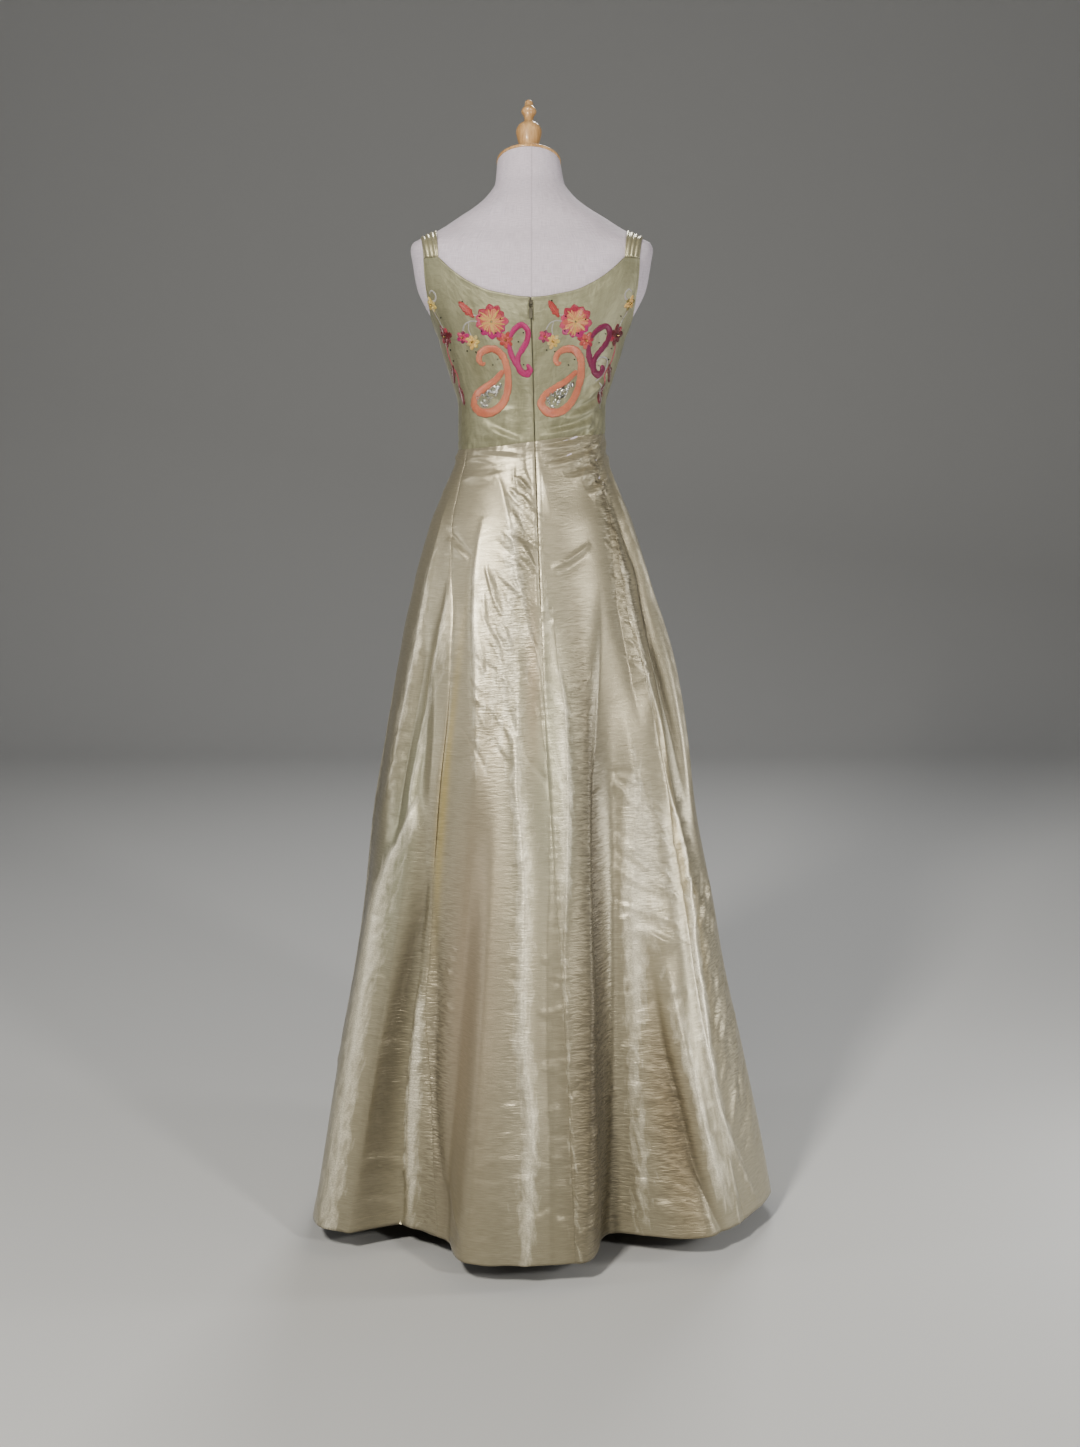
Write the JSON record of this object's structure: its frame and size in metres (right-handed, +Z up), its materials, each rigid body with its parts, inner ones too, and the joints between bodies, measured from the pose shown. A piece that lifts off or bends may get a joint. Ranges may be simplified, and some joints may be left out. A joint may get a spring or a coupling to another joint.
{
  "type": "evening gown on a limbless dress form",
  "caption": "Floor-length evening gown with shoulder straps, embroidered bodice, flared gored skirt and back zip, standing on a limbless dress form.",
  "frame": {"origin": "on the floor, under the middle of the form's base plate, on the form's axis", "axes": "+Z up, -Y the gown's back with the zip, +Y its front, +X its right-hand side as seen from behind"},
  "size_m": [0.7153, 0.6838, 1.7236],
  "materials": {
    "taffeta": "crisp slubbed taffeta with a soft metallic sheen",
    "organza": "matte organza over taffeta, with floral embroidery and beads",
    "zip_tape": "plain woven tape",
    "zip_metal": "dull metal",
    "linen": "stretched pale linen",
    "wood": "clear-varnished pale wood",
    "stand_metal": "black powder coat"
  },
  "bodies": {
    "gown_and_form": {"bodice_front": "organza", "bodice_back_left": "organza", "bodice_back_right": "organza", "strap_left": "taffeta", "strap_right": "taffeta", "skirt_back_left": "taffeta", "skirt_back_right": "taffeta", "skirt_side_left": "taffeta", "skirt_side_right": "taffeta", "skirt_front": "taffeta", "zip_tape": "zip_tape", "zip_slider": "zip_metal", "form_torso": "linen", "neck_cap": "wood", "finial": "wood", "form_pole": "stand_metal", "form_base": "stand_metal"},
    "pull_tab": {"zip_pull": "zip_metal"}
  },
  "joints": [
    {"name": "pull_tab_hinge", "type": "hinge", "parent": "gown_and_form", "child": "pull_tab", "pos_m": [-0.00122, -0.11274, 1.4085], "axis": [-1, 0, 0], "range_deg": [0, 160]}
  ]
}
